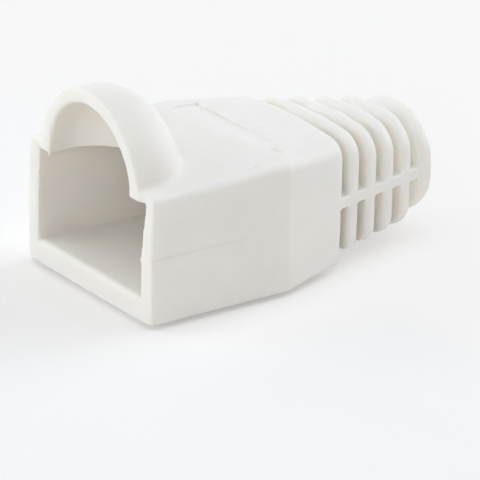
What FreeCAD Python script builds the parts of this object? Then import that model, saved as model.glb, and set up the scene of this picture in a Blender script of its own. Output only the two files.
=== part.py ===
import FreeCAD, Part
import os

# One-piece moulded strain relief boot for an eight-way modular plug, in millimetres.
# X runs across the boot, Y from the plug mouth back to the cable end, Z up from the flat base.
# Everything is built with the mouth at Y = 0 and moved once, at the end, to centre the boot on Y.

# Sleeve that slides over the rear of the plug
sleeveWidth = 14.2
bendY = 10.45               # from here back the sides turn in
sleeveEndY = 15.42          # last full wall before the first slot
shoulderZ = 8.22            # height of the plate along its long edges, at the mouth
plateRise = 0.03            # rise of the plate for each millimetre back
crown = 0.32                # rise of the middle of the plate above its edges
edgeSoft = 0.4              # rounding of the long edges of the plate
baseSoft = 0.15             # rounding of the edges of the base
partingZ = 4.3              # the two mould halves meet on this plane

# Ribbed tail around the cable
ribCount = 4
slotPitch = 1.675
slotWidth = 0.93
spineHeight = 0.75          # spines on both sides tie the ribs together
slotCorner = 0.22
ringThickness = 1.0
ringStartY = sleeveEndY + ribCount * slotPitch + slotWidth
tailEndY = ringStartY + ringThickness

# Outlines of sleeve and tail from front to back: base and shoulder are heights, rise is the
# crown above the shoulders, a corner is its length along the flat and up the wall, draft draws
# the lower half in, and less fullness brings the corners nearer to straight chamfers
outlines = {
    "plug mouth": dict(y=0, width=sleeveWidth, base=0, shoulder=shoulderZ, rise=crown,
                       baseCorner=(baseSoft, baseSoft), topCorner=(edgeSoft, edgeSoft)),
    "bend": dict(y=bendY, width=sleeveWidth, base=0, shoulder=shoulderZ + plateRise * bendY,
                 rise=crown, baseCorner=(baseSoft, baseSoft), topCorner=(edgeSoft, edgeSoft)),
    "last full wall": dict(y=sleeveEndY, width=11.4, base=0, shoulder=8.42, rise=crown,
                           baseCorner=(0.45, 0.45), topCorner=(1.3, 1.0), draft=0.15),
    "first rib": dict(y=sleeveEndY + slotWidth, width=10.85, base=0.42, shoulder=8.36, rise=0.3,
                      baseCorner=(1.0, 0.9), topCorner=(1.5, 1.2), draft=0.15),
    "last rib": dict(y=ringStartY - slotWidth, width=8.2, base=0.5, shoulder=7.98, rise=0.12,
                     baseCorner=(1.9, 1.8), topCorner=(2.4, 2.0), draft=0.05, fullness=0.6),
    "ring front": dict(y=ringStartY, width=7.95, base=0.55, shoulder=8.0, rise=0.02,
                       baseCorner=(3.4, 3.0), topCorner=(3.0, 2.7), fullness=0.45),
    "ring back": dict(y=tailEndY, width=7.85, base=0.55, shoulder=8.0, rise=0.02,
                      baseCorner=(3.4, 3.0), topCorner=(3.0, 2.7), fullness=0.45),
}

# Round core inside the ribs, and the cable bore
coreStart = (3.90, 4.08)    # half width and half height where the tail starts
coreEnd = (3.35, 3.58)      # the same at the cable end
coreZ = 4.36
coreRoot = 0.5              # the core starts this far inside the last full wall
boreRadius = 2.85
boreLead = 1.2              # conical lead-in from the plug cavity

# Plug cavity
floorThickness = 1.47
ceilingZ = 7.73
cavityWidth = 11.8          # below the parting plane
cavityTopWidth = 12.18      # under the plate
cavityDepth = 12.4
rearInset = 0.7             # the side walls thicken by this much at the back, low down
rearTopInset = 0.9          # the same under the plate
lipRadius = 0.4             # rounded front lip of the floor

# Latch hood
archWidth = 9.1
archHeight = 4.6
hoodWall = 1.0
hoodStraight = 1.45
noseInside = 3.6            # length of the rounded nose inside and outside
noseOutside = 4.0
hoodBlend = 0.4             # fillet round the foot of the hood
rimLean = 0.15              # the top of the hood rim stands this far forward
shoulderLean = 0.23         # the side walls lean back above the parting plane
leanStart = 0.55            # the lean is full this far beside the hood
leanEnd = 0.02              # what is left of it at the outer edge

# Thumb ramp: a shallow slope in the plate that runs down to a low step in front of the tail
rampWidth = 10.4
rampFrontY = 9.4
rampLeftRearY = 11.83       # the step stands a little askew
rampRightRearY = 11.25
rampStepZ = 8.45            # foot of the step at its left end
rampFall = 0.06             # fall for each millimetre back
rampRise = 0.03             # rise for each millimetre to the right

# Working values
backward = FreeCAD.Vector(0, 1, 0)
reach = 20.0                # half length of a block that passes every side of the boot
clear = 1.0                 # a cutter starts this far outside what it cuts
sliver = 0.001              # smallest thickness of a wedge
near = 0.01                 # edges closer than this count as the same


def conic(start, middle, end, fullness):
    """Rounded corner between two straight sides."""
    curve = Part.BezierCurve()
    curve.setPoles([start, middle, end])
    curve.setWeight(2, fullness)
    return curve.toShape()


def crownLine(start, middle, end):
    """Gently arched line across the top of a section."""
    curve = Part.BezierCurve()
    curve.setPoles([start, middle, end])
    return curve.toShape()


def section(y, width, base, shoulder, rise, baseCorner, topCorner, draft=0.0, fullness=0.7):
    """Closed outline across the boot at y: two drafted halves that meet on the parting plane."""
    def point(x, z):
        return FreeCAD.Vector(x, y, z)

    def towards(a, b, length):
        return a + (b - a) * (length / (b - a).Length)

    half = width / 2
    peak = point(0, shoulder + 2 * rise)
    topEnds = []
    baseEnds = []
    walls = []
    for side in (1, -1):
        middle = point(side * half, partingZ)
        topSharp = point(side * half, shoulder)
        baseSharp = point(side * (half - draft), base)
        topEnd = towards(topSharp, peak, topCorner[0])
        topSide = towards(topSharp, middle, topCorner[1])
        baseSide = towards(baseSharp, middle, baseCorner[1])
        baseEnd = point(side * (half - draft - baseCorner[0]), base)
        walls += [conic(baseEnd, baseSharp, baseSide, fullness),
                  Part.makeLine(baseSide, middle), Part.makeLine(middle, topSide),
                  conic(topSide, topSharp, topEnd, fullness)]
        topEnds.append(topEnd)
        baseEnds.append(baseEnd)
    top = crownLine(topEnds[0], peak, topEnds[1])
    floor = Part.makeLine(baseEnds[1], baseEnds[0])
    return Part.Wire(Part.__sortEdges__([floor, top] + walls))


def bootEnvelope():
    """Outer form of sleeve and tail, without the hood."""
    return Part.makeLoft([section(**outline) for outline in outlines.values()], True, True)


def ellipseWire(y, halfWidth, halfHeight):
    """Upright ellipse across the boot, centred on the core axis."""
    centre = FreeCAD.Vector(0, y, coreZ)
    curve = Part.Ellipse(centre + FreeCAD.Vector(0, 0, halfHeight),
                         centre + FreeCAD.Vector(halfWidth, 0, 0), centre)
    return Part.Wire(curve.toShape())


def coreSolid():
    start = ellipseWire(sleeveEndY - coreRoot, *coreStart)
    end = ellipseWire(tailEndY, *coreEnd)
    return Part.makeLoft([start, end], True, True)


def slotCutters():
    """Blades that leave the ribs, the side spines and the round core standing."""
    core = coreSolid()
    cutters = []
    for number in range(ribCount + 1):
        y = sleeveEndY + number * slotPitch
        for side in (1, -1):
            z = partingZ + side * spineHeight / 2
            corner = FreeCAD.Vector(-reach, y, z if side > 0 else z - reach)
            blade = Part.makeBox(2 * reach, slotWidth, reach, corner)
            tips = [edge for edge in blade.Edges
                    if abs(edge.CenterOfMass.z - z) < near and abs(edge.CenterOfMass.x) < near]
            cutters.append(blade.makeFillet(slotCorner, tips).cut(core))
    return cutters


def cavityWire(y, lowHalf, highHalf):
    outline = [(-lowHalf, floorThickness), (lowHalf, floorThickness), (lowHalf, partingZ),
               (highHalf, ceilingZ), (-highHalf, ceilingZ), (-lowHalf, partingZ)]
    points = [FreeCAD.Vector(x, y, z) for x, z in outline]
    return Part.makePolygon(points + points[:1])


def plugCavity():
    """Room for the plug, closed by a wall with a conical lead-in to the cable bore."""
    low = cavityWidth / 2
    high = cavityTopWidth / 2
    room = Part.makeLoft([cavityWire(-clear, low, high), cavityWire(bendY, low, high),
                          cavityWire(cavityDepth, low - rearInset, high - rearTopInset)],
                         True, True)
    lead = Part.makeCone(boreRadius + boreLead / 2, boreRadius, boreLead,
                         FreeCAD.Vector(0, cavityDepth, partingZ), backward)
    bore = Part.makeCylinder(boreRadius, tailEndY - cavityDepth + 2 * clear,
                             FreeCAD.Vector(0, cavityDepth - clear, partingZ), backward)
    return [room, lead, bore]


def hoodForm(halfWidth, height, nose):
    """Half cylinder with a rounded nose, lying along the boot on the underside of the plate."""
    start = FreeCAD.Vector(0, -clear, 0)
    barrel = Part.makeCylinder(1, hoodStraight + clear, start, backward)
    ball = Part.makeSphere(1)
    stretch = FreeCAD.Matrix()
    stretch.scale(1, nose, 1)
    ball = ball.transformGeometry(stretch)
    ball.translate(FreeCAD.Vector(0, hoodStraight, 0))
    widen = FreeCAD.Matrix()
    widen.scale(halfWidth, 1, height)
    form = barrel.fuse(ball).transformGeometry(widen)
    form.translate(FreeCAD.Vector(0, 0, ceilingZ))
    above = Part.makeBox(2 * reach, 2 * reach, reach,
                         FreeCAD.Vector(-reach, -reach, ceilingZ - near))
    return form.common(above)


def rimTrim():
    """Block in front of the mouth whose face leans forward up the hood."""
    topZ = ceilingZ + archHeight + hoodWall
    profile = [(-reach, 0), (0, 0), (0, shoulderZ), (-rimLean, topZ), (-reach, topZ)]
    points = [FreeCAD.Vector(-reach, y, z) for y, z in profile]
    face = Part.Face(Part.makePolygon(points + points[:1]))
    return face.extrude(FreeCAD.Vector(2 * reach, 0, 0))


def shoulderTrim(side):
    """Wedge in front of one side wall; its depth grows from nothing beside the hood."""
    def profile(x, lean):
        outline = [(-clear, partingZ), (0, partingZ), (lean, ceilingZ),
                   (lean, ceilingZ + 2 * clear), (-clear, ceilingZ + 2 * clear)]
        points = [FreeCAD.Vector(side * x, y, z) for y, z in outline]
        return Part.makePolygon(points + points[:1])

    start = archWidth / 2 + hoodWall
    return Part.makeLoft([profile(start, sliver), profile(start + leanStart, shoulderLean),
                          profile(sleeveWidth / 2 + clear, leanEnd)], True, True)


def rampCutter():
    """Space over the thumb ramp: its floor tilts, so the step fades out towards the right."""
    left = -rampWidth / 2
    right = rampWidth / 2

    def floorPoint(x, y):
        z = rampStepZ + rampRise * (x - left) + rampFall * (rampLeftRearY - y)
        return FreeCAD.Vector(x, y, z)

    corners = [(left, rampFrontY), (right, rampFrontY), (right, rampRightRearY),
               (left, rampLeftRearY)]
    points = [floorPoint(x, y) for x, y in corners]
    face = Part.Face(Part.makePolygon(points + points[:1]))
    return face.extrude(FreeCAD.Vector(0, 0, reach))


def hoodedEnvelope():
    """Outer form with the hood blended into the plate round its foot."""
    hood = hoodForm(archWidth / 2 + hoodWall, archHeight + hoodWall, noseOutside)
    body = bootEnvelope().cut(rampCutter()).fuse(hood).removeSplitter().Solids[0]
    foot = [edge for edge in body.Edges
            if edge.BoundBox.ZMin > shoulderZ and edge.BoundBox.ZMax < shoulderZ + 2 * crown
            and near < edge.BoundBox.YMax < hoodStraight + noseOutside]
    return body.makeFillet(hoodBlend, foot)


def bootSolid():
    hoodRoom = hoodForm(archWidth / 2, archHeight, noseInside)
    trims = [hoodRoom, rimTrim(), shoulderTrim(1), shoulderTrim(-1)]
    body = hoodedEnvelope()
    for cutter in slotCutters() + plugCavity() + trims:
        body = body.cut(cutter)
    lip = [edge for edge in body.Edges
           if abs(edge.CenterOfMass.y) < near and abs(edge.CenterOfMass.z - floorThickness) < near]
    body = body.Solids[0].makeFillet(lipRadius, lip)
    body.translate(FreeCAD.Vector(0, (rimLean - tailEndY) / 2, 0))
    return body


os.makedirs("parts", exist_ok=True)
boot = bootSolid()
boot.exportStep("parts/boot.step")
print("boot", boot.isValid(), len(boot.Solids), round(boot.Volume, 1), "mm3")
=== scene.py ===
import math
import bmesh
import bpy
import numpy as np
from mathutils import Matrix, Vector


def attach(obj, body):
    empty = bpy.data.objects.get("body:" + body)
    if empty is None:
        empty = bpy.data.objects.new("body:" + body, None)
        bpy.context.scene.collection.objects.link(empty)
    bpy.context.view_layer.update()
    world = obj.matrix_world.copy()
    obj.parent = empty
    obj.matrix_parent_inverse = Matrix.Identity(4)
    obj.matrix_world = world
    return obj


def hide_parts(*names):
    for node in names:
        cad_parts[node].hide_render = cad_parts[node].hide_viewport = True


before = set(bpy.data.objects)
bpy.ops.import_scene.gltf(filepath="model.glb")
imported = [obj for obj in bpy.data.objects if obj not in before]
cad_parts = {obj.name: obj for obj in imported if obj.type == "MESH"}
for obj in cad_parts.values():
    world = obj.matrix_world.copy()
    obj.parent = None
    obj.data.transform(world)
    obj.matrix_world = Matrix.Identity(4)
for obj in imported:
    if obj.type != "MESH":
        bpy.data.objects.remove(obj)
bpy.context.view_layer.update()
print("frame loaded:", ", ".join(sorted(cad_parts)))

mm = 0.001


def linearColour(hexText):
    # an sRGB hex value turned to linear by the standard curve
    values = []
    for start in (1, 3, 5):
        part = int(hexText[start:start + 2], 16) / 255
        values.append(part / 12.92 if part <= 0.04045 else ((part + 0.055) / 1.055) ** 2.4)
    return (*values, 1.0)


def addNode(tree, kind, settings=None, inputs=None):
    # one node with its settings and inputs; an input given as a socket is linked
    node = tree.nodes.new(kind)
    for name, value in (settings or {}).items():
        setattr(node, name, value)
    for name, value in (inputs or {}).items():
        if isinstance(value, bpy.types.NodeSocket):
            tree.links.new(value, node.inputs[name])
        else:
            node.inputs[name].default_value = value
    return node


def newMaterial(name):
    material = bpy.data.materials.new(name)
    material.use_nodes = True
    material.node_tree.nodes.clear()
    return material


# Flexible PVC with white filler: a warm off-white that is satin rather than shiny, lets a
# little light into its edges, and has the faint mottle and fine grain of a stoned mould.
pvc = {
    "colour": "#F2EDE5",
    "shadeColour": "#ECE7DE",
    "roughness": 0.60,
    "roughnessSpread": 0.03,
    "ior": 1.53,
    "subsurface": 0.4,
    "subsurfaceDepth": 0.8,      # mm
    "subsurfaceTint": (1.0, 0.88, 0.65),   # red light goes deepest
    "mottleSize": 2.4,           # mm
    "mottleDetail": 3.0,
    "mottleRange": (0.3, 0.7),   # most of the noise lies between these
    "grainSize": 0.11,           # mm, drawn coarser than the real 0.03 so that it shows
    "grainDetail": 2.0,
    "grainDepth": 0.004,         # mm
}


def mouldedPvc():
    material = newMaterial("mouldedPvc")
    tree = material.node_tree
    place = addNode(tree, "ShaderNodeTexCoord").outputs["Object"]
    mottle = addNode(tree, "ShaderNodeTexNoise", {"noise_dimensions": "3D"},
                     {"Vector": place, "Scale": 1 / (pvc["mottleSize"] * mm),
                      "Detail": pvc["mottleDetail"]}).outputs["Fac"]
    # inputs 6 and 7 and output 2 of a Mix node are its colours
    tint = addNode(tree, "ShaderNodeMix", {"data_type": "RGBA"},
                   {"Factor": mottle, 6: linearColour(pvc["colour"]),
                    7: linearColour(pvc["shadeColour"])})
    shine = addNode(tree, "ShaderNodeMapRange", None,
                    {"Value": mottle, "From Min": pvc["mottleRange"][0],
                     "From Max": pvc["mottleRange"][1],
                     "To Min": pvc["roughness"] - pvc["roughnessSpread"],
                     "To Max": pvc["roughness"] + pvc["roughnessSpread"]})
    grain = addNode(tree, "ShaderNodeTexNoise", {"noise_dimensions": "3D"},
                    {"Vector": place, "Scale": 1 / (pvc["grainSize"] * mm),
                     "Detail": pvc["grainDetail"]})
    bump = addNode(tree, "ShaderNodeBump", None,
                   {"Height": grain.outputs["Fac"], "Distance": pvc["grainDepth"] * mm,
                    "Strength": 1.0})
    shader = addNode(tree, "ShaderNodeBsdfPrincipled", {"subsurface_method": "RANDOM_WALK"},
                     {"Base Color": tint.outputs[2], "Roughness": shine.outputs["Result"],
                      "Normal": bump.outputs["Normal"], "IOR": pvc["ior"],
                      "Subsurface Weight": pvc["subsurface"],
                      "Subsurface Radius": pvc["subsurfaceTint"],
                      "Subsurface Scale": pvc["subsurfaceDepth"] * mm})
    addNode(tree, "ShaderNodeOutputMaterial", None, {"Surface": shader.outputs["BSDF"]})
    return material


pvcMaterial = mouldedPvc()
print("material made:", pvcMaterial.name)

# places are (x, y, z) in millimetres, with the mouth at y = -11.95 and the base at z = 0;
# a pair of numbers is where a share starts to rise or fall and where it ends
boot = {
    "mergeWithin": 0.001,   # mm, the solid's loose triangles are joined within this
    "voxel": 0.075,         # mm, spacing of the skin's points before it is thinned
    "faces": 190000,        # triangles after it is thinned
    "softening": 4,         # passes that round the edges as a soft moulding's are
    "passFactor": 0.5,      # how far each pass goes
    "nearBase": (0.25, 0.5),         # mm up; the base edges keep their corner below this
    "baseRadius": 0.16,     # mm, rounding of the base edges that is taken back to a corner
    "baseCrisp": (-1.5, 1.5),        # mm along the boot; the crisp corner fades out here
    "baseFacing": 0.15,     # only skin that faces sideways at least this much is moved

    "rimSoftening": 34,     # further passes round the mouth
    "rimFront": -11.95,     # mm along the boot
    "rimDepth": (0.25, 0.9),         # mm back from the mouth
    "rimCorner": (6.4, 6.8),         # mm to the side
    "rimHood": (7.9, 8.5),           # mm up
    "innerShare": 0.2,      # the inner edges of the walls keep more of their crispness

    "footSoftening": 40,    # further passes round the foot of the hood
    "footHalfWidth": 5.55,  # mm, half width and length of the foot's rounded end
    "footLength": 4.0,
    "footStart": -10.5,     # mm along the boot, where the foot starts to close
    "footInside": (0.84, 0.92),      # in foot sizes, where the softened band begins
    "footOutside": (1.12, 1.22),     # and where it ends
    "footRise": (8.15, 8.3),         # mm up
    "footTop": (9.6, 10.2),
    "footBehindRim": 0.8,   # mm

    # the thumb ramp's left and rear steps, each from one point to another
    "stepLines": [((-5.2, -2.6), (-5.2, -0.12)), ((-5.2, -0.12), (5.2, -0.70))],
    "stepReach": (0.175, 0.35),      # mm to either side, the ramp's low steps stay sharp
    "rampLift": 0.16,       # mm, the ramp's floor comes up by this at the foot of its steps
    "rampLiftEdge": 0.08,   # mm from the steps, where the lift is full
    "rampLiftWidth": (5.0, 10.0),    # mm from the left step, the lift fades out here
    "rampLiftLength": 4.0,  # mm from the rear step
    "grooves": [
        # start, end, half width, depth at both: along the feet of these steps
        ((-5.08, -2.6), (-5.08, -0.25), 0.10, 0.07, 0.07),
        ((-5.08, -0.25), (4.60, -0.80), 0.10, 0.08, 0.02),
        ((-4.90, -0.60), (4.30, -1.15), 0.55, 0.08, 0.06),
    ],
    "plateFrom": 8.2,       # mm up; the ramp is only shaped above this

    "partingZ": 4.3,        # mm up, where the mould halves meet
    "partingWidth": 0.07,   # mm
    "partingGroove": 0.07,  # mm deep at the mouth
    "partingGrooveAt": 0.7,          # in widths above the parting plane
    "partingStep": 0.04,    # mm, the lower half stands this far out below the line
    "partingStepAt": -1.2,
    "partingFade": (-7.0, -3.4),     # mm along the boot
    "sideFrom": (6.7, 6.9),          # mm to the side, where the side walls' skin is
    "sideFacing": (0.2, 0.6),        # and how much it faces sideways

    "pipFalloff": 2.0,      # a pip is down to a seventh at its radius
    "pips": [
        # place, radius, push: flash left at the rim and small marks on the plate
        ((-4.50, -11.85, 7.75), 0.20, (0.04, -0.08, -0.45)),
        ((-6.30, -11.90, 3.80), 0.16, (0.05, -0.10, 0.0)),
        ((5.90, -11.80, 4.05), 0.20, (-0.20, -0.04, 0.0)),
        ((6.02, -11.60, 6.44), 0.16, (-0.14, 0.0, 0.0)),
        ((1.19, 0.21, 8.90), 0.24, (0.0, 0.0, 0.07)),
        ((6.25, -3.66, 8.54), 0.22, (0.0, 0.0, -0.10)),
        ((4.60, -1.15, 8.73), 0.15, (0.0, 0.0, -0.16)),
        ((4.72, -1.00, 8.73), 0.15, (0.0, 0.0, -0.16)),
        ((5.08, -1.05, 8.71), 0.15, (0.0, 0.0, -0.16)),
        ((5.26, -0.90, 8.70), 0.15, (0.0, 0.0, -0.14)),
    ],
}

# the ribs and the sleeve's end, in millimetres along, across or up the boot; each is an
# input of the tree that shapes them
ribs = {
    "firstRib": 4.40,       # front edge of the first rib
    "pitch": 1.675,
    "lead": 0.15,           # the rounding starts this far before each front edge
    "roundTo": 0.56,        # and it fades out behind the edge from here
    "roundEnd": 0.71,       # to here
    "passes": 140,          # how often it is repeated
    "passWeight": 0.25,     # and how strong it is each time
    "partingHeight": boot["partingZ"],
    "spineHalf": 0.45,      # the ribs are shaped from this far off the spines' middle
    "ribStart": 0.75,       # and fully from here
    "backEdge": 0.745,      # behind the front edge
    "crownFrom": 0.42,      # the skin turns down from here to the back edge
    "crown": -0.06,         # by this much
    "widen": 0.14,          # the back edge stands this much further back
    "widenReach": 0.28,
    "coreRadius": 3.6,      # nothing inside this is moved
    "skinRadius": 3.9,      # and everything outside this is, fully
    "baseFrom": 0.2,        # nor is anything lower than this
    "baseClear": 0.5,       # and from here up it is moved fully
    "sleeveFrom": 2.93,     # nor is anything in front of this
}


def ribRounding():
    # one rule for every rib: a soft front edge, and a skin that turns down to the back edge
    tree = bpy.data.node_groups.new("ribRounding", "GeometryNodeTree")
    tree.interface.new_socket("Boot", in_out="INPUT", socket_type="NodeSocketGeometry")
    for name, value in ribs.items():
        kind = "NodeSocketInt" if isinstance(value, int) else "NodeSocketFloat"
        tree.interface.new_socket(name, in_out="INPUT", socket_type=kind)
    tree.interface.new_socket("Boot", in_out="OUTPUT", socket_type="NodeSocketGeometry")
    given = addNode(tree, "NodeGroupInput").outputs
    place = addNode(tree, "GeometryNodeInputPosition").outputs["Position"]
    normal = addNode(tree, "GeometryNodeInputNormal").outputs["Normal"]
    axis = addNode(tree, "ShaderNodeSeparateXYZ", None, {"Vector": place}).outputs

    fromFirst = addNode(tree, "ShaderNodeMath", {"operation": "SUBTRACT"},
                        {0: axis["Y"], 1: given["firstRib"]}).outputs[0]
    withLead = addNode(tree, "ShaderNodeMath", {"operation": "ADD"},
                       {0: fromFirst, 1: given["lead"]}).outputs[0]
    inPitch = addNode(tree, "ShaderNodeMath", {"operation": "FLOORED_MODULO"},
                      {0: withLead, 1: given["pitch"]}).outputs[0]
    behind = addNode(tree, "ShaderNodeMath", {"operation": "SUBTRACT"},
                     {0: inPitch, 1: given["lead"]}).outputs[0]
    up = addNode(tree, "ShaderNodeMath", {"operation": "SUBTRACT"},
                 {0: axis["Z"], 1: given["partingHeight"]}).outputs[0]
    offSpine = addNode(tree, "ShaderNodeMath", {"operation": "ABSOLUTE"}, {0: up}).outputs[0]
    clear = addNode(tree, "ShaderNodeMapRange", {"interpolation_type": "SMOOTHSTEP"},
                    {"Value": offSpine, "From Min": given["spineHalf"],
                     "From Max": given["ribStart"]}).outputs["Result"]

    # the front edges are blurred, and less and less behind them
    front = addNode(tree, "ShaderNodeMapRange", {"interpolation_type": "SMOOTHSTEP"},
                    {"Value": behind, "From Min": given["roundTo"], "From Max": given["roundEnd"],
                     "To Min": given["passWeight"], "To Max": 0.0}).outputs["Result"]
    onRibs = addNode(tree, "ShaderNodeMath", {"operation": "GREATER_THAN"},
                     {0: withLead, 1: 0.0}).outputs[0]
    frontClear = addNode(tree, "ShaderNodeMath", {"operation": "MULTIPLY"},
                         {0: front, 1: clear}).outputs[0]
    weight = addNode(tree, "ShaderNodeMath", {"operation": "MULTIPLY"},
                     {0: frontClear, 1: onRibs}).outputs[0]
    blurred = addNode(tree, "GeometryNodeBlurAttribute", {"data_type": "FLOAT_VECTOR"},
                      {"Value": place, "Iterations": given["passes"],
                       "Weight": weight}).outputs["Value"]
    rounded = addNode(tree, "GeometryNodeSetPosition", None,
                      {"Geometry": given["Boot"], "Position": blurred}).outputs["Geometry"]

    # then the skin outside the core is turned down and its back edges are moved back
    across = addNode(tree, "ShaderNodeCombineXYZ", None, {"X": axis["X"], "Z": up}).outputs[0]
    radius = addNode(tree, "ShaderNodeVectorMath", {"operation": "LENGTH"},
                     {0: across}).outputs["Value"]
    skin = addNode(tree, "ShaderNodeMapRange", {"interpolation_type": "SMOOTHSTEP"},
                   {"Value": radius, "From Min": given["coreRadius"],
                    "From Max": given["skinRadius"]}).outputs["Result"]
    offBase = addNode(tree, "ShaderNodeMapRange", {"interpolation_type": "SMOOTHSTEP"},
                      {"Value": axis["Z"], "From Min": given["baseFrom"],
                       "From Max": given["baseClear"]}).outputs["Result"]
    onTail = addNode(tree, "ShaderNodeMath", {"operation": "GREATER_THAN"},
                     {0: axis["Y"], 1: given["sleeveFrom"]}).outputs[0]
    skinClear = addNode(tree, "ShaderNodeMath", {"operation": "MULTIPLY"},
                        {0: skin, 1: clear}).outputs[0]
    tailClear = addNode(tree, "ShaderNodeMath", {"operation": "MULTIPLY"},
                        {0: onTail, 1: offBase}).outputs[0]
    share = addNode(tree, "ShaderNodeMath", {"operation": "MULTIPLY"},
                    {0: skinClear, 1: tailClear}).outputs[0]
    down = addNode(tree, "ShaderNodeMapRange", {"interpolation_type": "SMOOTHSTEP"},
                   {"Value": behind, "From Min": given["crownFrom"],
                    "From Max": given["backEdge"], "To Max": given["crown"]}).outputs["Result"]
    past = addNode(tree, "ShaderNodeMath", {"operation": "SUBTRACT"},
                   {0: behind, 1: given["backEdge"]}).outputs[0]
    away = addNode(tree, "ShaderNodeMath", {"operation": "ABSOLUTE"}, {0: past}).outputs[0]
    back = addNode(tree, "ShaderNodeMapRange", {"interpolation_type": "SMOOTHSTEP"},
                   {"Value": away, "From Max": given["widenReach"], "To Min": given["widen"],
                    "To Max": 0.0}).outputs["Result"]
    inward = addNode(tree, "ShaderNodeVectorMath", {"operation": "SCALE"},
                     {0: normal, "Scale": down}).outputs["Vector"]
    rearward = addNode(tree, "ShaderNodeCombineXYZ", None, {"Y": back}).outputs[0]
    both = addNode(tree, "ShaderNodeVectorMath", {"operation": "ADD"},
                   {0: inward, 1: rearward}).outputs["Vector"]
    push = addNode(tree, "ShaderNodeVectorMath", {"operation": "SCALE"},
                   {0: both, "Scale": share}).outputs["Vector"]
    shaped = addNode(tree, "GeometryNodeSetPosition", None,
                     {"Geometry": rounded, "Offset": push}).outputs["Geometry"]
    whole = addNode(tree, "GeometryNodeRealizeInstances", None,
                    {"Geometry": shaped}).outputs["Geometry"]
    coated = addNode(tree, "GeometryNodeSetMaterial", None,
                     {"Geometry": whole, "Material": pvcMaterial}).outputs["Geometry"]
    addNode(tree, "NodeGroupOutput", None, {"Boot": coated})
    return tree


def softStep(value, low, high):
    # 0 below low, 1 above high, and an even S-curve between them
    share = np.clip((value - low) / (high - low), 0.0, 1.0)
    return share * share * (3 - 2 * share)


def bakeModifiers(piece):
    # the evaluated shape becomes the piece's own plain mesh
    graph = bpy.context.evaluated_depsgraph_get()
    mesh = bpy.data.meshes.new_from_object(piece.evaluated_get(graph))
    piece.modifiers.clear()
    piece.data = mesh


def shapeBy(piece, kind, **settings):
    # one modifier, baked at once
    modifier = piece.modifiers.new(kind.lower(), kind)
    for name, value in settings.items():
        setattr(modifier, name, value)
    bakeModifiers(piece)


def roundRibs(piece):
    tree = ribRounding()
    modifier = piece.modifiers.new("ribs", "NODES")
    modifier.node_group = tree
    for socket in tree.interface.items_tree:
        if socket.name in ribs:
            modifier[socket.identifier] = ribs[socket.name]
    bakeModifiers(piece)


def vertexArrays(mesh):
    # places and normals of all points, one row each
    places = np.empty(len(mesh.vertices) * 3, dtype=np.float32)
    mesh.vertices.foreach_get("co", places)
    normals = np.empty(len(mesh.vertices) * 3, dtype=np.float32)
    mesh.vertices.foreach_get("normal", normals)
    return places.reshape(-1, 3).astype(float), normals.reshape(-1, 3).astype(float)


def softenBy(piece, weights, passes):
    # smooth the skin where the weights say, in a few levels that a vertex group can hold
    levelCount = 20
    group = piece.vertex_groups.new(name="soft")
    levels = np.round(weights * levelCount).astype(int)
    for level in range(1, levelCount + 1):
        chosen = np.nonzero(levels == level)[0]
        if len(chosen):
            group.add(chosen.tolist(), level / levelCount, "REPLACE")
    shapeBy(piece, "SMOOTH", factor=boot["passFactor"], iterations=passes,
            vertex_group="soft")
    piece.vertex_groups.clear()


def rimShare(places, clearOfBase):
    # most at the outer corners and round the hood, little at the inner edges of the walls
    x, y, z = places.T
    rim = 1 - softStep(y - boot["rimFront"], *boot["rimDepth"])
    corner = softStep(np.abs(x), *boot["rimCorner"])
    hood = softStep(z, *boot["rimHood"])
    inner = boot["innerShare"] * clearOfBase
    return rim * np.maximum(np.maximum(corner, hood), inner)


def footShare(places):
    # a band round the line where the hood meets the plate
    x, y, z = places.T
    back = np.maximum(y - boot["footStart"], 0) / boot["footLength"]
    around = np.hypot(x / boot["footHalfWidth"], back)
    band = softStep(around, *boot["footInside"]) * (1 - softStep(around, *boot["footOutside"]))
    height = softStep(z, *boot["footRise"]) * (1 - softStep(z, *boot["footTop"]))
    return band * height * (y > boot["rimFront"] + boot["footBehindRim"])


def alongLine(places, start, end):
    # distance in plan from a line between two points, and the share of the way along it
    start, along = np.array(start), np.array(end) - np.array(start)
    share = np.clip((places[:, :2] - start) @ along / (along @ along), 0.0, 1.0)
    return np.linalg.norm(places[:, :2] - start - share[:, None] * along, axis=1), share


def stepShare(places):
    # 1 along the ramp's low steps, 0 away from them
    away = np.min([alongLine(places, *line)[0] for line in boot["stepLines"]], axis=0)
    return (1 - softStep(away, *boot["stepReach"])) * (places[:, 2] > boot["plateFrom"])


def partingRelief(places, normals):
    # the line where the mould halves meet: a fine groove, with a low step below it
    x, y, z = places.T
    side = softStep(np.abs(x), *boot["sideFrom"])
    side *= softStep(np.abs(normals[:, 0]), *boot["sideFacing"])
    fade = 1 - softStep(y, *boot["partingFade"])
    up = (z - boot["partingZ"]) / boot["partingWidth"]
    step = boot["partingStep"] * np.exp(-(up - boot["partingStepAt"]) ** 2)
    groove = boot["partingGroove"] * np.exp(-(up - boot["partingGrooveAt"]) ** 2)
    return normals * (side * fade * (step - groove))[:, None]


def baseRelief(places, normals):
    # the rounded base edges are pushed out to a crisp corner
    radius = boot["baseRadius"]
    drop = np.clip(radius - places[:, 2], 0.0, radius)
    level = normals * (1.0, 1.0, 0.0)
    length = np.linalg.norm(level, axis=1)
    push = (radius - np.sqrt(radius ** 2 - drop ** 2)) * (length > boot["baseFacing"])
    push *= 1 - softStep(places[:, 1], *boot["baseCrisp"])
    return level * (push / np.maximum(length, boot["baseFacing"]))[:, None]


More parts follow.
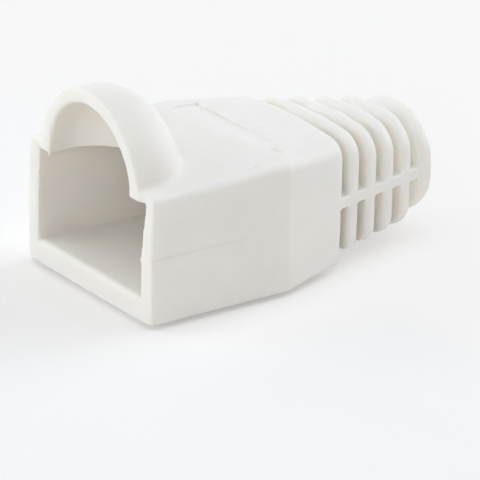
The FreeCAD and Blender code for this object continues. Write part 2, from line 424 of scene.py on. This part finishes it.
def rampRelief(places):
    # the ramp's floor comes up to leave low steps, and grooves run along their feet
    x, y, z = places.T
    onPlate = z > boot["plateFrom"]
    corner, far = boot["stepLines"][1]
    right = x - corner[0]
    front = corner[1] + right * (far[1] - corner[1]) / (far[0] - corner[0]) - y
    edge = boot["rampLiftEdge"]
    share = softStep(right, 0.0, edge) * softStep(front, 0.0, edge) * onPlate
    share *= 1 - softStep(right, *boot["rampLiftWidth"])
    share *= np.clip(1 - front / boot["rampLiftLength"], 0, 1)
    relief = np.zeros_like(places)
    relief[:, 2] = boot["rampLift"] * share
    for start, end, width, first, last in boot["grooves"]:
        away, along = alongLine(places, start, end)
        depth = (first + (last - first) * along) * onPlate
        relief[:, 2] -= depth * np.exp(-(away / width) ** 2)
    return relief


def pipRelief(places):
    # small round bumps and dents
    relief = np.zeros_like(places)
    for place, size, push in boot["pips"]:
        away = np.linalg.norm(places - np.array(place), axis=1) / size
        relief += np.exp(-boot["pipFalloff"] * away ** 2)[:, None] * np.array(push)
    return relief


def softMoulding(source, name):
    # the CAD solid merged, skinned finely and shaped, in millimetres until it is finished
    piece = bpy.data.objects.new(name, source.data.copy())
    bpy.context.scene.collection.objects.link(piece)
    bm = bmesh.new()
    bm.from_mesh(piece.data)
    bmesh.ops.remove_doubles(bm, verts=bm.verts, dist=boot["mergeWithin"] * mm)
    bm.transform(Matrix.Scale(1 / mm, 4))
    bm.to_mesh(piece.data)
    bm.free()
    shapeBy(piece, "REMESH", mode="VOXEL", voxel_size=boot["voxel"])
    print("skinned:", len(piece.data.vertices), "points")
    places = vertexArrays(piece.data)[0]
    clearOfBase = softStep(places[:, 2], *boot["nearBase"])
    softenBy(piece, clearOfBase * (1 - stepShare(places)), boot["softening"])
    softenBy(piece, rimShare(places, clearOfBase), boot["rimSoftening"])
    softenBy(piece, footShare(places), boot["footSoftening"])
    piece.data.materials.clear()
    roundRibs(piece)
    places, normals = vertexArrays(piece.data)
    places = (places + partingRelief(places, normals) + baseRelief(places, normals)
              + rampRelief(places) + pipRelief(places))
    piece.data.vertices.foreach_set("co", places.astype(np.float32).ravel())
    triangles = 2 * len(piece.data.polygons)   # the skin is all quads
    shapeBy(piece, "DECIMATE", ratio=boot["faces"] / triangles)
    mesh = piece.data
    mesh.transform(Matrix.Scale(mm, 4))
    mesh.polygons.foreach_set("use_smooth", [True] * len(mesh.polygons))
    return piece


bootPiece = softMoulding(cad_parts["boot"], "boot_moulding")
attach(bootPiece, "root")
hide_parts("boot")
print("boot moulding:", len(bootPiece.data.polygons), "faces")

# Matt white paper with painted light: it glows to the eye and half washes out the boot's shadow,
# more behind the boot, leaving it on an almost white ground with a dark line only under its edge.
floor = {
    "size": 900,            # mm
    "z": -0.34,             # mm, a gap under the boot that leaves the dark line
    "colour": "#FCF8F3",
    # colour of the painted light that lifts the boot's shadow on the sheet
    "paintedLightColour": "#F8F7F6",
    "paintedLightNearMouth": 0.32,         # share of painted light that the eye gets in place of the lit sheet
    "paintedLightNearTail": 0.58,
    "paintedLightFrom": 1.0,      # mm along the boot, the painted light's share changes between these
    "paintedLightTo": 5.0,
    "farFrom": 80,          # mm from the boot; from here it turns to plain bright sheet
    "farTo": 240,
}


def paintedLightPaper():
    material = newMaterial("paintedLightPaper")
    tree = material.node_tree
    place = addNode(tree, "ShaderNodeTexCoord").outputs["Object"]
    along = addNode(tree, "ShaderNodeSeparateXYZ", None, {"Vector": place}).outputs["Y"]
    # painted light: the sheet glows to the eye more behind the boot than in front, lifting the
    # boot's shadow there
    paintedLightShare = addNode(tree, "ShaderNodeMapRange", {"interpolation_type": "SMOOTHSTEP"},
                     {"Value": along, "From Min": floor["paintedLightFrom"] * mm,
                      "From Max": floor["paintedLightTo"] * mm, "To Min": floor["paintedLightNearMouth"],
                      "To Max": floor["paintedLightNearTail"]}).outputs["Result"]
    distance = addNode(tree, "ShaderNodeVectorMath", {"operation": "LENGTH"},
                       {0: place}).outputs["Value"]
    far = addNode(tree, "ShaderNodeMapRange", {"interpolation_type": "SMOOTHSTEP"},
                  {"Value": distance, "From Min": floor["farFrom"] * mm,
                   "From Max": floor["farTo"] * mm}).outputs["Result"]
    bright = addNode(tree, "ShaderNodeMath", {"operation": "MAXIMUM"},
                     {0: paintedLightShare, 1: far}).outputs["Value"]
    eye = addNode(tree, "ShaderNodeLightPath").outputs["Is Camera Ray"]
    share = addNode(tree, "ShaderNodeMath", {"operation": "MULTIPLY"}, {0: bright, 1: eye})
    paper = addNode(tree, "ShaderNodeBsdfDiffuse", None, {"Color": linearColour(floor["colour"])})
    # the glow is painted light on the paper, seen by the camera only
    glow = addNode(tree, "ShaderNodeEmission", None,
                   {"Color": linearColour(floor["paintedLightColour"]), "Strength": 1.0})
    mixed = addNode(tree, "ShaderNodeMixShader", None,
                    {0: share.outputs["Value"], 1: paper.outputs["BSDF"],
                     2: glow.outputs["Emission"]})
    addNode(tree, "ShaderNodeOutputMaterial", None, {"Surface": mixed.outputs["Shader"]})
    return material


def floorSheet():
    half = floor["size"] / 2 * mm
    mesh = bpy.data.meshes.new("floor_sheet")
    corners = [(-half, -half, 0), (half, -half, 0), (half, half, 0), (-half, half, 0)]
    mesh.from_pydata(corners, [], [(0, 1, 2, 3)])
    mesh.materials.append(paintedLightPaper())
    sheet = bpy.data.objects.new("floor_sheet", mesh)
    sheet.location.z = floor["z"] * mm
    bpy.context.scene.collection.objects.link(sheet)


floorSheet()
print("floor laid")

# azimuth 0 faces the mouth and 90 the boot's right side; all angles are in degrees
light = {
    "distance": 400,        # mm from the boot
    "size": 250,            # mm, all of them wide and soft
    "whiteInReflections": 0.5,   # how bright the white all round is in the boot's sheen
    "lamps": {
        # name: azimuth, elevation, watts, colour
        "overhead_lamp": (0, 88, 0.58, "#F0F6FF"),
        "rear_lamp": (180, 20, 0.62, "#F0F6FF"),
        "rear_high_lamp": (180, 50, 0.35, "#F0F6FF"),
        "front_left_lamp": (-45, 20, 0.53, "#F3F9FF"),
        "front_left_high_lamp": (-45, 50, 0.10, "#F3F9FF"),
        "front_right_lamp": (45, 20, 0.43, "#F3F9FF"),
        "left_lamp": (-90, 20, 0.34, "#F0F6FF"),
        "rear_right_lamp": (135, 20, 0.32, "#F0F6FF"),
        "front_lamp": (0, 20, 0.22, "#F3F9FF"),
        "front_high_lamp": (0, 50, 0.11, "#F3F9FF"),
        "rear_left_lamp": (225, 20, 0.14, "#F0F6FF"),
    },
}


def directionTo(azimuth, elevation):
    turn, rise = math.radians(azimuth), math.radians(elevation)
    return Vector((math.sin(turn) * math.cos(rise), -math.cos(turn) * math.cos(rise),
                   math.sin(rise)))


def whiteWorld():
    # only the camera and reflections see it, as the plain white all round
    world = bpy.data.worlds.new("white_world")
    world.use_nodes = True
    tree = world.node_tree
    path = addNode(tree, "ShaderNodeLightPath")
    seen = addNode(tree, "ShaderNodeMath", {"operation": "MULTIPLY_ADD"},
                   {0: path.outputs["Is Glossy Ray"], 1: light["whiteInReflections"],
                    2: path.outputs["Is Camera Ray"]})
    tree.links.new(seen.outputs["Value"], tree.nodes["Background"].inputs["Strength"])
    tree.nodes["Background"].inputs["Color"].default_value = (1, 1, 1, 1)
    bpy.context.scene.world = world


def softLamps():
    for name, (azimuth, elevation, watts, colour) in light["lamps"].items():
        lamp = bpy.data.lights.new(name, "AREA")
        lamp.size = light["size"] * mm
        lamp.energy = watts
        lamp.color = linearColour(colour)[:3]
        holder = bpy.data.objects.new(name, lamp)
        bpy.context.scene.collection.objects.link(holder)
        way = directionTo(azimuth, elevation)
        holder.location = way * light["distance"] * mm
        holder.rotation_euler = way.to_track_quat("Z", "Y").to_euler()


whiteWorld()
softLamps()

# where it stands, as an angle round the target
camera = {
    "azimuth": 54.71,
    "elevation": 21.95,
    "roll": 0.78,
    "distance": 250,        # mm
    "nearest": 10,          # mm
    "target": (8.27, -6.16, 4.89),   # mm
    "lens": 303.6,          # mm, on a sensor this wide
    "sensor": 36,
}


def addCamera():
    data = bpy.data.cameras.new("view_camera")
    data.lens = camera["lens"]
    data.sensor_width = camera["sensor"]
    data.clip_start = camera["nearest"] * mm
    holder = bpy.data.objects.new("view_camera", data)
    bpy.context.scene.collection.objects.link(holder)
    back = directionTo(camera["azimuth"], camera["elevation"])
    roll = Matrix.Rotation(math.radians(camera["roll"]), 3, "Z")
    turn = back.to_track_quat("Z", "Y").to_matrix() @ roll
    place = (Vector(camera["target"]) + back * camera["distance"]) * mm
    holder.matrix_world = Matrix.Translation(place) @ turn.to_4x4()
    bpy.context.scene.camera = holder


addCamera()
bpy.context.scene.view_settings.view_transform = "Standard"
print("camera and light set")
